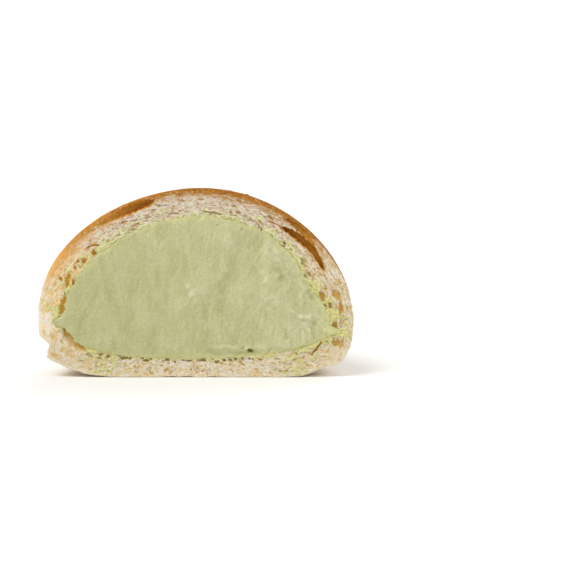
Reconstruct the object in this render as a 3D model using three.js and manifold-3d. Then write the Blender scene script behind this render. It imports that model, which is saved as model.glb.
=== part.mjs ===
// Half of a soft round milk bun, cut straight through the middle to show its green tea cream.
// The half stands on its flat baked base. The cut face looks along -Y and +Z is up, in millimetres.
// The bread is a deep bowl of crumb on its side, and the cream fills the bowl up to the cut.

import * as THREE from "three";
import { mergeVertices } from "three/addons/utils/BufferGeometryUtils.js";
import Module from "manifold-3d";

// Driving dimensions
const bunWidth = 90;
const bunHeight = 54.2;
const bunDepth = 45;
const creamGap = 0.35;

// The crust's section at the right end of the cut, at the back and at the left end:
// beltHeight is the height of the widest line and baseRadius the reach of the flat base.
const crustEnds = {
  right: { radius: bunWidth / 2, beltHeight: 16, baseRadius: 20, domePower: 1.9 },
  back: { radius: bunDepth, beltHeight: 17, baseRadius: 26, domePower: 2.04 },
  left: { radius: bunWidth / 2, beltHeight: 18, baseRadius: 16, domePower: 1.95 },
};
const crustFootPower = 3;
const crustLean = 1.6;
const crustUnevenness = 0.7;

// The cream's section in the same three places. Its beltHeight is the level where it is widest.
const creamEnds = {
  right: { radius: 38, beltHeight: 14, domePower: 1.74, footPower: 2 },
  back: { radius: 37, beltHeight: 15, domePower: 1.8, footPower: 2.7 },
  left: { radius: 37.6, beltHeight: 16, domePower: 1.93, footPower: 2.7 },
};
const creamFloor = 5.8;
const creamTop = 46;
const creamLean = 3;
const creamBulge = 0.9;
const dragMark = 0.2;

// Where the cream runs out into the crumb as a finger, at the two ends of the cut, and where it
// falls short of its round outline, above the right finger
const creamFingers = [
  { turn: 0, span: 0.07, height: 13.2, reach: 3.2, width: 1.3 },
  { turn: 0, span: 0.07, height: 26.5, reach: -2.2, width: 6.5 },
  { turn: 1, span: 0.07, height: 16.4, reach: 2.4, width: 1.7 },
];

// The creases in the pale side of the bun. turn is 0 at the right end of the cut and 1 at the left,
// span is the half length in turns, rise is how far a crease climbs over its length, and lip says
// whether the dough swells below the crease or above it. The two at the cut are seen in section.
const creaseCount = 13;
const creaseSpread = 0.618;
const creases = [
  { turn: 0, span: 0.06, height: 3, rise: 0.6, depth: 2.4, width: 0.85, lip: 1 },
  { turn: 1, span: 0.08, height: 9.4, rise: 1.5, depth: 1.9, width: 1.6, lip: -1 },
];
for (let k = 0; k < creaseCount; k++) {
  creases.push({
    turn: (k + 1) / (creaseCount + 1),
    span: 0.055 + 0.015 * Math.sin(3.1 * k),
    height: 4.6 + 12.5 * ((k * creaseSpread) % 1),
    rise: 3.2 * Math.sin(2.4 * k + 1),
    depth: 1.05 + 0.25 * Math.cos(1.7 * k),
    width: 1.15,
    lip: -1,
  });
}

// Air pockets that the cut opened. line holds the [x, z] points along the middle of each one.
const pockets = [
  { line: [[24.6, 43], [28.9, 40.2], [33.2, 36.4], [36.6, 30.6]], width: 1.7, depth: 9 },
  { line: [[26.2, 46], [29.4, 43.6], [32, 41], [34.1, 38.4]], width: 1.1, depth: 2.5 },
  { line: [[-26, 44.8], [-20.5, 47.7], [-15.5, 49.7], [-11.6, 50.8]], width: 1.5, depth: 6 },
  { line: [[-37.6, 15], [-37, 12.3], [-34.8, 9.9], [-30.6, 8.4]], width: 1.3, depth: 3 },
  { line: [[35.8, 10.6], [34.6, 9], [32.8, 6.9]], width: 0.5, depth: 2.5 },
];

// The largest pores of the crumb: place of the middle, half sizes, and lean to the right in degrees
const pores = [
  { x: -37.4, z: 20.6, halfWidth: 0.7, halfHeight: 2.8, lean: 14 },
  { x: -36.3, z: 28, halfWidth: 0.7, halfHeight: 1.8, lean: -8 },
  { x: -31.6, z: 33.5, halfWidth: 0.7, halfHeight: 0.8, lean: 0 },
  { x: -28.7, z: 35.8, halfWidth: 0.8, halfHeight: 0.7, lean: 30 },
  { x: 36, z: 23.3, halfWidth: 0.9, halfHeight: 1.4, lean: -15 },
  { x: 40.6, z: 23.4, halfWidth: 0.6, halfHeight: 1.3, lean: -15 },
  { x: 41.4, z: 19.8, halfWidth: 0.6, halfHeight: 1.5, lean: -8 },
  { x: 39.5, z: 14.8, halfWidth: 0.9, halfHeight: 1.1, lean: 0 },
  { x: 40, z: 9.9, halfWidth: 1.2, halfHeight: 0.95, lean: 10 },
];
const poreDepth = 1.6;

// Fineness of the mesh
const crustMesh = { footRows: 20, domeRows: 18, turns: 64, columns: 1 };
const creamMesh = { footRows: 12, domeRows: 16, turns: 32, columns: 28 };

const { lerp, degToRad } = THREE.MathUtils;
const bell = (u) => Math.exp(-u * u);

// Blends a value from the right end of the cut, round the back, to the left end.
function roundTheBun(ends, key, turn) {
  const { right, back, left } = ends;
  const toBack = Math.sin(Math.PI * turn) ** 2;
  const end = turn < 0.5 ? right[key] : left[key];
  return lerp(end, back[key], toBack);
}

// How far the crust is drawn in by the creases, less the swelling beside each one
function creaseDepth(turn, z) {
  let depth = 0;
  for (const crease of creases) {
    const along = (turn - crease.turn) / crease.span;
    const across = (z - crease.height - (crease.rise * along) / 2) / crease.width;
    const swelling = 0.35 * bell((across - 1.7 * crease.lip) / 1.2);
    depth += crease.depth * bell(along) * (bell(across) - swelling);
  }
  return depth;
}

// A point of the crust. turn runs round the bun, and share runs up the foot and then up the dome.
function crustPoint(turn, part, share) {
  const radius = roundTheBun(crustEnds, "radius", turn);
  const belt = roundTheBun(crustEnds, "beltHeight", turn);
  const base = roundTheBun(crustEnds, "baseRadius", turn);
  const power = roundTheBun(crustEnds, "domePower", turn);
  const sine = Math.sin((share * Math.PI) / 2);
  const cosine = Math.max(Math.cos((share * Math.PI) / 2), 0);
  const foot = part === "foot";
  const z = foot
    ? belt * (1 - cosine ** (2 / crustFootPower))
    : belt + (bunHeight - belt) * sine ** (2 / power);
  const smooth = foot
    ? base + (radius - base) * sine ** (2 / crustFootPower)
    : radius * cosine ** (2 / power);
  const uneven = crustUnevenness * Math.sin(Math.PI * turn) * Math.sin(11 * turn + z / 9);
  const settled = foot ? share : Math.min(1, 4 * (1 - share));
  const reach = smooth + settled * (uneven - creaseDepth(turn, z));
  const lean = foot ? 0 : crustLean * sine ** 2;
  return pointRound(turn, Math.max(reach, 0), z, lean);
}

// A point of the cream's skin, drawn in by inset on every side
function creamPoint(turn, part, share, inset) {
  const foot = part === "foot";
  const angle = ((foot ? 1 - share : share) * Math.PI) / 2;
  const out = share < 1 || foot ? Math.max(Math.cos(angle), 0) : 0;
  const up = Math.sin(angle);
  const belt = roundTheBun(creamEnds, "beltHeight", turn);
  const power = roundTheBun(creamEnds, foot ? "footPower" : "domePower", turn);
  const height = (foot ? belt - creamFloor : creamTop - belt) - inset;
  const z = belt + (foot ? -1 : 1) * height * up ** (2 / power);
  const radius = roundTheBun(creamEnds, "radius", turn) - inset;
  let reach = radius * out ** (2 / power);
  for (const finger of creamFingers) {
    const near = bell((turn - finger.turn) / finger.span) * bell((z - finger.height) / finger.width);
    reach += finger.reach * near * Math.min(1, 8 * out);
  }
  return pointRound(turn, reach, z, foot ? 0 : creamLean * up ** 2);
}

function pointRound(turn, reach, z, lean) {
  const angle = Math.PI * turn;
  const onCut = turn === 0 || turn === 1;
  return [Math.cos(angle) * reach + lean, onCut ? 0 : Math.sin(angle) * reach, z];
}

// A closed half body. Rows of its skin run round the back, from the right end of the cut to the
// left, and columns between the ends of each row close the front, which stands out by front(x, z).
function halfBody(pointOf, { footRows, domeRows, turns, columns }, front) {
  const rows = [];
  const addRow = (part, share) => {
    rows.push(Array.from({ length: turns + 1 }, (_, k) => pointOf(k / turns, part, share)));
  };
  for (let i = 0; i <= footRows; i++) addRow("foot", i / footRows);
  for (let i = 1; i <= domeRows; i++) addRow("dome", i / domeRows);
  const [lowest, highest] = [rows[0], rows.at(-1)];
  rows.unshift(lowest.map((point) => [0, 0, point[2]]));
  rows[rows.length - 1] = highest.map(() => [highest[0][0], 0, highest[0][2]]);

  const frontRows = rows.map((row) =>
    Array.from({ length: columns + 1 }, (_, k) => {
      const x = lerp(row[turns][0], row[0][0], k / columns);
      const z = lerp(row[turns][2], row[0][2], k / columns);
      return [x, k === 0 || k === columns ? 0 : -front(x, z), z];
    }),
  );
  return closedGeometry([...facesBetween(rows), ...facesBetween(frontRows)]);
}

// The corners of the triangles that fill a grid of points, row by row
function facesBetween(rows) {
  const corners = [];
  for (let j = 0; j + 1 < rows.length; j++) {
    const [low, high] = [rows[j], rows[j + 1]];
    for (let k = 0; k + 1 < low.length; k++) {
      corners.push(...low[k], ...low[k + 1], ...high[k + 1]);
      corners.push(...low[k], ...high[k + 1], ...high[k]);
    }
  }
  return corners;
}

// Merges the corners of loose triangles into one closed surface and drops the ones with no area.
function closedGeometry(corners) {
  const loose = new THREE.BufferGeometry();
  loose.setAttribute("position", new THREE.Float32BufferAttribute(corners, 3));
  const merged = mergeVertices(loose, 1e-3);
  const index = [];
  for (let i = 0; i < merged.index.count; i += 3) {
    const [a, b, c] = [0, 1, 2].map((n) => merged.index.getX(i + n));
    if (a !== b && b !== c && a !== c) index.push(a, b, c);
  }
  merged.setIndex(index);
  return merged;
}

// A slit along a line of [x, z] points, widest in the middle and closed at depth behind the cut
function pocketGeometry({ line, width, depth }) {
  const curve = new THREE.SplineCurve(line.map(([x, z]) => new THREE.Vector2(x, z)));
  const steps = 12;
  const tipWidth = 0.15;
  const inFront = 1;
  const [upper, lower] = [[], []];
  for (let i = 0; i <= steps; i++) {
    const middle = curve.getPoint(i / steps);
    const along = curve.getTangent(i / steps);
    const half = (tipWidth + (width - tipWidth) * Math.sin((Math.PI * i) / steps) ** 0.6) / 2;
    const across = new THREE.Vector2(-along.y, along.x).multiplyScalar(half);
    upper.push(middle.clone().add(across));
    lower.unshift(middle.clone().sub(across));
  }
  const outline = new THREE.Shape([...upper, ...lower]);
  const slit = new THREE.ExtrudeGeometry(outline, { depth: depth + inFront, bevelEnabled: false });
  return slit.rotateX(Math.PI / 2).translate(0, depth, 0);
}

function poreGeometry({ x, z, halfWidth, halfHeight, lean }) {
  const pore = new THREE.SphereGeometry(1, 10, 8);
  return pore.scale(halfWidth, poreDepth, halfHeight).rotateY(degToRad(lean)).translate(x, 0, z);
}

const wasm = await Module();
wasm.setup();

function solidFrom(geometry) {
  const bare = geometry.clone();
  bare.deleteAttribute("normal");
  bare.deleteAttribute("uv");
  const merged = mergeVertices(bare, 1e-3);
  return new wasm.Manifold(
    new wasm.Mesh({
      numProp: 3,
      vertProperties: new Float32Array(merged.attributes.position.array),
      triVerts: new Uint32Array(merged.index.array),
    }),
  );
}

function geometryFrom(solid) {
  const { vertProperties, triVerts } = solid.getMesh();
  const geometry = new THREE.BufferGeometry();
  geometry.setAttribute("position", new THREE.BufferAttribute(vertProperties, 3));
  geometry.setIndex(new THREE.BufferAttribute(triVerts, 1));
  geometry.computeVertexNormals();
  return geometry;
}

// The cream's face bulges a little and keeps the upright drag marks of the knife.
function creamFace(x, z) {
  const middle = (creamFloor + creamTop) / 2;
  const fromMiddle = (x / creamEnds.left.radius) ** 2 + ((z - middle) / (creamTop - middle)) ** 2;
  const drag = Math.sin(0.55 * x + 0.6 * Math.sin(0.12 * z)) * Math.sin(0.09 * z + 0.05 * x);
  return dragMark * (1 + drag) + creamBulge * Math.max(1 - fromMiddle, 0);
}

function breadGeometry() {
  const openAtTheCut = () => 3;
  const room = (turn, part, share) => creamPoint(turn, part, share, 0);
  let bread = solidFrom(halfBody(crustPoint, crustMesh, () => 0));
  bread = bread.subtract(solidFrom(halfBody(room, { ...creamMesh, columns: 2 }, openAtTheCut)));
  for (const pocket of pockets) bread = bread.subtract(solidFrom(pocketGeometry(pocket)));
  for (const pore of pores) bread = bread.subtract(solidFrom(poreGeometry(pore)));
  return geometryFrom(bread);
}

function creamGeometry() {
  const skin = (turn, part, share) => creamPoint(turn, part, share, creamGap);
  return halfBody(skin, creamMesh, creamFace);
}

const breadMaterial = new THREE.MeshStandardMaterial({ color: 0xd9ab6c, roughness: 0.75, metalness: 0 });
const creamMaterial = new THREE.MeshStandardMaterial({ color: 0xc1c08f, roughness: 0.6, metalness: 0 });

const bread = new THREE.Mesh(breadGeometry(), breadMaterial);
bread.name = "bread";
const cream = new THREE.Mesh(creamGeometry(), creamMaterial);
cream.name = "green_tea_cream";

const halfBun = new THREE.Group();
halfBun.add(bread, cream);

// The origin goes under the middle of the half, on the surface that it stands on.
const box = new THREE.Box3().setFromObject(halfBun);
const middle = box.getCenter(new THREE.Vector3());
halfBun.position.set(-middle.x, -middle.y, -box.min.z);

export default halfBun;
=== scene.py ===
# The cut half of a soft round bun: thin brown crust, open pale crumb and a thick green tea cream.
# Sizes are millimetres and turns round the bun; meshes are made in metres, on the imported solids.
import math
import bpy
import mathutils
import numpy as np
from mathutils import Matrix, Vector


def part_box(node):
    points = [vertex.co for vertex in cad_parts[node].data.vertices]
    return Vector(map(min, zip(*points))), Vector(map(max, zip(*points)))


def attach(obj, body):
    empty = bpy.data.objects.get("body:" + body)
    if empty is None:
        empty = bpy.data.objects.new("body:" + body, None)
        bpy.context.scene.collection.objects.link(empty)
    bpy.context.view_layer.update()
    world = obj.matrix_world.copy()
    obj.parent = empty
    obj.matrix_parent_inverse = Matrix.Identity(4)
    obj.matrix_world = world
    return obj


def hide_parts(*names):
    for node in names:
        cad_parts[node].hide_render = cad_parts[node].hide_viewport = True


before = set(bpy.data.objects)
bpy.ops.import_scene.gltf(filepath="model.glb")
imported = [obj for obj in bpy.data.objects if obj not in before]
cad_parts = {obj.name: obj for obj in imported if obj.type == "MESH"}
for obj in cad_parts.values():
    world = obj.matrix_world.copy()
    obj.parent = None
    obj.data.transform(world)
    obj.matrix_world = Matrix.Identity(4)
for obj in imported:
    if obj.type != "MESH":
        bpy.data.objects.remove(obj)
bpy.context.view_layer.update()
mm = 0.001
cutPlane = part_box("bread")[0][1] / mm   # where the knife went, along Y
farOff = 9.0   # the distance to a rim that is kept on points nowhere near it


# Small helpers for node trees, used by the geometry trees and by the materials
def feed(tree, socket, value):
    if isinstance(value, bpy.types.NodeSocket):
        tree.links.new(value, socket)
    else:
        socket.default_value = value


def addNode(tree, kind, inputs=(), **settings):
    node = tree.nodes.new(kind)
    for name, value in settings.items():
        setattr(node, name, value)
    for name, value in dict(inputs).items():
        feed(tree, node.inputs[name], value)
    return node


def calc(tree, operation, *values):
    node = addNode(tree, "ShaderNodeMath", operation=operation)
    for socket, value in zip(node.inputs, values):
        feed(tree, socket, value)
    return node.outputs[0]


def times(tree, first, *others):
    for other in others:
        first = calc(tree, "MULTIPLY", first, other)
    return first


def vectorCalc(tree, operation, *values):
    node = addNode(tree, "ShaderNodeVectorMath", operation=operation)
    for socket, value in zip(node.inputs, values):
        feed(tree, socket, value)
    return node.outputs[0]


def distance(tree, here, there):
    node = addNode(tree, "ShaderNodeVectorMath", operation="DISTANCE")
    feed(tree, node.inputs[0], here)
    feed(tree, node.inputs[1], there)
    return node.outputs["Value"]


def scaled(tree, vector, factor):
    node = addNode(tree, "ShaderNodeVectorMath", {"Scale": factor}, operation="SCALE")
    feed(tree, node.inputs[0], vector)
    return node.outputs[0]


def parts(tree, vector):
    node = addNode(tree, "ShaderNodeSeparateXYZ", {"Vector": vector})
    return node.outputs[0], node.outputs[1], node.outputs[2]


def joined(tree, x=0.0, y=0.0, z=0.0):
    return addNode(tree, "ShaderNodeCombineXYZ", {"X": x, "Y": y, "Z": z}).outputs[0]


def remap(tree, value, fromLow, fromHigh, toLow=0.0, toHigh=1.0):
    node = addNode(tree, "ShaderNodeMapRange", interpolation_type="SMOOTHSTEP")
    for name, part in (("Value", value), ("From Min", fromLow), ("From Max", fromHigh),
                       ("To Min", toLow), ("To Max", toHigh)):
        feed(tree, node.inputs[name], part)
    return node.outputs[0]


def noise(tree, vector, scale, detail=2.0, rough=0.5, distortion=0.0):
    node = addNode(tree, "ShaderNodeTexNoise", {
        "Vector": vector, "Scale": scale, "Detail": detail, "Roughness": rough, "Distortion": distortion})
    return node.outputs[0]


def cells(tree, vector, scale, feature="F1"):
    return addNode(tree, "ShaderNodeTexVoronoi", {"Vector": vector, "Scale": scale}, feature=feature)


def tint(code, strength=1.0):
    # A colour as it is seen on a screen, such as "c1c08f", made linear
    seen = [int(code[i:i + 2], 16) / 255 for i in (0, 2, 4)]
    linear = [c / 12.92 if c <= 0.04045 else ((c + 0.055) / 1.055) ** 2.4 for c in seen]
    return tuple(min(c * strength, 1.0) for c in linear) + (1.0,)


def blend(tree, factor, first, second):
    node = addNode(tree, "ShaderNodeMix", data_type="RGBA")
    for index, value in ((0, factor), (6, first), (7, second)):
        feed(tree, node.inputs[index], tint(value) if isinstance(value, str) else value)
    return node.outputs[2]


# Lays colours over each other, each where its mask is high
def layered(tree, colour, *layers):
    for mask, over in layers:
        colour = blend(tree, mask, colour, over)
    return colour


# The shape of the bun: that of the solids, with finer creases and a narrower left finger of cream
crustEnds = {
    "right": {"radius": 45, "belt": 16, "base": 20, "power": 1.9},
    "back": {"radius": 45, "belt": 17, "base": 26, "power": 2.04},
    "left": {"radius": 45, "belt": 18, "base": 16, "power": 1.95},
}
crustSize = {
    "height": 54.2,
    "footPower": 3,
    "lean": 1.6,
    "unevenness": 0.7,
    "blisterRoom": 0.1,      # kept free under the solid's skin for the blisters
    "rows": 210,
    "turns": 224,
}
creamEnds = {
    "right": {"radius": 38, "belt": 14, "power": 1.74, "footPower": 2},
    "back": {"radius": 37, "belt": 15, "power": 1.8, "footPower": 2.7},
    "left": {"radius": 37.6, "belt": 16, "power": 1.93, "footPower": 2.7},
}
creamSize = {"floor": 5.8, "top": 46, "lean": 3}
creamFingers = [
    {"turn": 0, "span": 0.07, "height": 13.2, "reach": 3.2, "width": 1.3},
    {"turn": 0, "span": 0.07, "height": 26.5, "reach": -2.2, "width": 6.5},
    {"turn": 1, "span": 0.07, "height": 16.1, "reach": 2.6, "width": 1.45},
    {"turn": 1, "span": 0.05, "height": 12.1, "reach": -1.3, "width": 2.1},
]
creases = [
    {"turn": 0, "span": 0.06, "height": 1.85, "rise": 0.4, "depth": 6, "width": 1.35, "sharpness": 4,
     "lip": 2, "swelling": 0.08, "swellingWidth": 1, "wave": 0},
    {"turn": 1, "span": 0.08, "height": 9.4, "rise": 1.5, "depth": 2.2, "width": 1.6, "sharpness": 1,
     "lip": -2.5, "swelling": 0.8, "swellingWidth": 0.8, "wave": 0},
]
creaseCount = 13
for k in range(creaseCount):
    creases.append({
        "turn": (k + 1) / (creaseCount + 1),
        "span": 0.055 + 0.015 * math.sin(3.1 * k),
        "height": 4.6 + 12.5 * ((k * 0.618) % 1),
        "rise": 3.2 * math.sin(2.4 * k + 1),
        "depth": 1.05 + 0.25 * math.cos(1.7 * k),
        "width": 0.95,
        "sharpness": 1,
        "lip": -1.9,
        "swelling": 0.4,
        "swellingWidth": 1.3,
        "wave": 0.5,
    })

# Air pockets and large pores that the knife opened, seen on the cut
pockets = [
    {"line": [(24.6, 43), (28.9, 40.2), (33.2, 36.4), (36.6, 30.6)], "width": 1.9, "depth": 4},
    {"line": [(25.8, 45.5), (29, 43), (31.5, 40.4), (33.6, 37.8)], "width": 1.5, "depth": 1.3},
    {"line": [(-26.8, 43.9), (-21, 46.9), (-16, 49), (-12, 50.4)], "width": 2, "depth": 2.6,
     "soft": 0.7, "shallow": 0.7},
    {"line": [(-37.6, 14.6), (-36.6, 12), (-34.2, 9.4), (-31.4, 7.7)], "width": 2.1, "depth": 1.1,
     "soft": 0.7, "blunt": 1.1},
    {"line": [(35.8, 10.2), (34.8, 8.8), (32.9, 6.5)], "width": 0.5, "depth": 0.9},
]
pores = [
    {"x": -37.8, "z": 20.6, "halfWidth": 0.85, "halfHeight": 2.8, "lean": 14},
    {"x": -36.3, "z": 28, "halfWidth": 0.75, "halfHeight": 1.9, "lean": 8},
    {"x": -31.6, "z": 33.5, "halfWidth": 0.7, "halfHeight": 0.8, "lean": 0},
    {"x": -28.7, "z": 35.8, "halfWidth": 0.8, "halfHeight": 0.7, "lean": 30},
    {"x": 36, "z": 23.3, "halfWidth": 0.9, "halfHeight": 1.4, "lean": -15},
    {"x": 40.6, "z": 23.4, "halfWidth": 0.6, "halfHeight": 1.3, "lean": -15},
    {"x": 41.4, "z": 19.8, "halfWidth": 0.6, "halfHeight": 1.5, "lean": -8},
    {"x": 39.5, "z": 14.8, "halfWidth": 0.9, "halfHeight": 1.1, "lean": 0},
    {"x": 40, "z": 9.9, "halfWidth": 1.2, "halfHeight": 0.95, "lean": 10},
]
poreDepth = 0.9


def bell(u):
    return np.exp(-u * u)


def smoothStep(value, low, high):
    # Rises from 0 at low to 1 at high, and falls where low is the larger
    share = np.clip((value - low) / (high - low), 0, 1)
    return share * share * (3 - 2 * share)


def roundTheBun(ends, key, turn):
    toBack = np.sin(np.pi * turn) ** 2
    end = np.where(turn < 0.5, ends["right"][key], ends["left"][key])
    return end + (ends["back"][key] - end) * toBack


def creaseDepth(turn, z, chosen=creases):
    depth = 0
    for crease in chosen:
        along = (turn - crease["turn"]) / crease["span"]
        wave = crease["wave"] * (np.sin(140 * turn) + 0.5 * np.sin(330 * turn + crease["height"]))
        across = (z - crease["height"] - crease["rise"] * along / 2 - wave) / crease["width"]
        swelling = crease["swelling"] * bell((across - crease["lip"]) / crease["swellingWidth"])
        depth = depth + crease["depth"] * bell(along) * (bell(across ** crease["sharpness"]) - swelling)
    return depth


def placed(turn, reach, z, lean):
    x = np.cos(np.pi * turn) * reach + lean
    y = np.sin(np.pi * turn) * reach
    return np.stack(np.broadcast_arrays(x, y, z), axis=-1)


# level runs from -1 at the middle of the base to 0 at its rim, 1 at the belt and 2 at the top
def crustPoint(turn, level):
    turn, level = np.broadcast_arrays(np.asarray(turn, float), np.asarray(level, float))
    radius = roundTheBun(crustEnds, "radius", turn)
    belt = roundTheBun(crustEnds, "belt", turn)
    base = roundTheBun(crustEnds, "base", turn)
    power = roundTheBun(crustEnds, "power", turn)
    foot = np.clip(level, 0, 1) * np.pi / 2
    dome = np.clip(level - 1, 0, 1) * np.pi / 2
    footPower = 2 / crustSize["footPower"]
    z = belt * (1 - np.abs(np.cos(foot)) ** footPower)
    z = z + (crustSize["height"] - belt) * np.sin(dome) ** (2 / power)
    reach = np.where(
        level > 1,
        radius * np.abs(np.cos(dome)) ** (2 / power),
        base * (1 + np.minimum(level, 0)) + (radius - base) * np.sin(foot) ** footPower,
    )
    uneven = crustSize["unevenness"] * np.sin(np.pi * turn) * np.sin(11 * turn + z / 9)
    settled = np.where(level > 1, np.minimum(1, 4 * (2 - level)), np.clip(level, 0, 1))
    room = crustSize["blisterRoom"] * np.sin(np.pi * turn)
    reach = reach + settled * (uneven - creaseDepth(turn, z) - room)
    z = z - crustSize["blisterRoom"] * np.sin(dome)
    return placed(turn, np.maximum(reach, 0), z, crustSize["lean"] * np.sin(dome) ** 2)


# level runs from 0 at the bottom of the cream to 1 at its belt and 2 at its top
def creamPoint(turn, level, inset=0.0):
    turn, level = np.broadcast_arrays(np.asarray(turn, float), np.asarray(level, float))
    foot = level < 1
    angle = np.abs(level - 1) * np.pi / 2
    out = np.abs(np.cos(angle))
    up = np.sin(angle)
    belt = roundTheBun(creamEnds, "belt", turn)
    power = np.where(foot, roundTheBun(creamEnds, "footPower", turn), roundTheBun(creamEnds, "power", turn))
    height = np.where(foot, belt - creamSize["floor"], creamSize["top"] - belt) - inset
    z = belt + np.where(foot, -1, 1) * height * up ** (2 / power)
    reach = (roundTheBun(creamEnds, "radius", turn) - inset) * out ** (2 / power)
    for finger in creamFingers:
        near = bell((turn - finger["turn"]) / finger["span"])
        near = near * bell((z - finger["height"]) / finger["width"])
        reach = reach + finger["reach"] * near * np.minimum(1, 8 * out)
    return placed(turn, reach, z, np.where(foot, 0, creamSize["lean"] * up ** 2))


def runLength(points):
    steps = np.linalg.norm(np.diff(points, axis=0), axis=1)
    return np.concatenate(([0], np.cumsum(steps)))


fineLevels = 8001   # points that a length is measured over


# Levels that are evenly spaced along the skin, on average over the two ends and the back
def evenLevels(pointAt, low, high, count):
    fine = np.linspace(low, high, fineLevels)
    length = sum(runLength(pointAt(turn, fine)) for turn in (0.0, 0.5, 1.0))
    return np.interp(np.linspace(0, length[-1], count + 1), length, fine)


# A closed outline on the cut: up the right side from the bottom to the top, and down the left
def cutOutline(pointAt, low, high, count, evenly):
    sides = []
    for turn in (0.0, 1.0):
        if evenly:
            levels = evenLevels(pointAt, low, high, count)
        else:
            fine = np.linspace(low, high, fineLevels)
            length = runLength(pointAt(turn, fine))
            levels = np.interp(np.linspace(0, length[-1], count + 1), length, fine)
        sides.append(pointAt(turn, levels)[:, [0, 2]])
    return np.concatenate([sides[0][:-1], sides[1][:0:-1]])


# Grows a mesh from loops of points. A next loop has as many points, or half as many, or is one point.
class Patchwork:
    def __init__(self):
        self.points = []
        self.faces = []
        self.count = 0

    def add(self, points):
        points = np.asarray(points, float).reshape(-1, 3)
        start = self.count
        self.points.append(points)
        self.count += len(points)
        return np.arange(start, self.count)

    def join(self, outer, inner):
        nextOuter = np.roll(outer, -1)
        if len(outer) == 1:
            self.faces += [(b, a, outer[0]) for a, b in zip(inner, np.roll(inner, -1))]
        elif len(inner) == 1:
            self.faces += [(a, b, inner[0]) for a, b in zip(outer, nextOuter)]
        elif len(inner) == len(outer):
            self.faces += list(zip(outer, nextOuter, np.roll(inner, -1), inner))
        elif len(inner) * 2 == len(outer):
            third = np.roll(outer, -2)[::2]
            nextInner = np.roll(inner, -1)
            for a, b, c, p, q in zip(outer[::2], outer[1::2], third, inner, nextInner):
                self.faces += [(a, b, p), (b, q, p), (b, c, q)]
        else:
            nextInner = np.roll(inner, -1)
            third = np.roll(inner, -2)[::2]
            for a, b, p, q, r in zip(outer, nextOuter, inner[::2], inner[1::2], third):
                self.faces += [(a, q, p), (a, b, q), (b, r, q)]

    def mesh(self, name):
        points = np.concatenate(self.points)
        points[:, 1] += cutPlane
        made = bpy.data.meshes.new(name)
        made.from_pydata(points * mm, [], [tuple(int(v) for v in face) for face in self.faces])
        made.validate()
        made.shade_smooth()
        return made


def addPiece(name, mesh):
    piece = bpy.data.objects.new(name, mesh)
    bpy.context.scene.collection.objects.link(piece)
    return piece


def setValues(mesh, name, values):
    values = np.asarray(values, float)
    kind = "FLOAT_VECTOR" if values.ndim == 2 else "FLOAT"
    attribute = mesh.attributes.new(name, kind, "POINT")
    attribute.data.foreach_set("vector" if values.ndim == 2 else "value", values.ravel())


print("bun: helpers ready")


# Geometry trees: what a user would turn is a named input, and the seed is one of them
def startTree(name, inputs):
    tree = bpy.data.node_groups.new(name, "GeometryNodeTree")
    tree.interface.new_socket("Geometry", in_out="OUTPUT", socket_type="NodeSocketGeometry")
    tree.interface.new_socket("Geometry", in_out="INPUT", socket_type="NodeSocketGeometry")
    for label, value in inputs.items():
        kind = {float: "NodeSocketFloat", int: "NodeSocketInt"}.get(type(value), "NodeSocketMaterial")
        tree.interface.new_socket(label, in_out="INPUT", socket_type=kind)
    return tree, tree.nodes.new("NodeGroupInput").outputs


def stored(tree, name, kind="FLOAT"):
    return addNode(tree, "GeometryNodeInputNamedAttribute", {"Name": name}, data_type=kind).outputs[0]


def store(tree, geometry, name, value):
    node = addNode(tree, "GeometryNodeStoreNamedAttribute", {"Geometry": geometry, "Name": name},
                   data_type="FLOAT", domain="POINT")
    feed(tree, node.inputs["Value"], value)
    return node.outputs[0]


def moved(tree, geometry, offset):
    return addNode(tree, "GeometryNodeSetPosition", {"Geometry": geometry, "Offset": offset}).outputs[0]


def placeOfPoints(tree):
    return scaled(tree, addNode(tree, "GeometryNodeInputPosition").outputs[0], 1 / mm)


def finishTree(tree, geometry, material, chosen=None, otherMaterial=None):
    whole = addNode(tree, "GeometryNodeRealizeInstances", {"Geometry": geometry}).outputs[0]
    whole = addNode(tree, "GeometryNodeSetMaterial", {"Geometry": whole, "Material": material}).outputs[0]
    if chosen is not None:
        whole = addNode(tree, "GeometryNodeSetMaterial", {
            "Geometry": whole, "Selection": chosen, "Material": otherMaterial}).outputs[0]
    out = tree.nodes.new("NodeGroupOutput")
    tree.links.new(whole, out.inputs[0])


# Runs a geometry tree on a piece and keeps the result as a plain mesh
def applyTree(piece, tree, values):
    modifier = piece.modifiers.new(tree.name, "NODES")
    modifier.node_group = tree
    for item in tree.interface.items_tree:
        if item.in_out == "INPUT" and item.name in values:
            modifier[item.identifier] = values[item.name]
    bpy.context.view_layer.update()
    graph = bpy.context.evaluated_depsgraph_get()
    made = bpy.data.meshes.new_from_object(
        piece.evaluated_get(graph), preserve_all_data_layers=True, depsgraph=graph)
    piece.modifiers.clear()
    piece.data = made
    return piece


def bowlLoops(edge, middle, mouth, back, steps):
    # Loops that carry an edge back to a rounded end behind it; their points are halved three times
    loops = []
    for index, angle in enumerate(np.linspace(0, math.pi / 2, steps + 1)[1:-1]):
        ring = middle + (edge - middle) * math.cos(angle)
        loop = inPlace(ring, mouth + (back - mouth) * math.sin(angle))
        loops.append(loop[:: 2 ** min(index, 3)])
    return loops


def inPlace(flat, depth):
    return np.insert(flat, 1, depth, axis=1)


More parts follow.
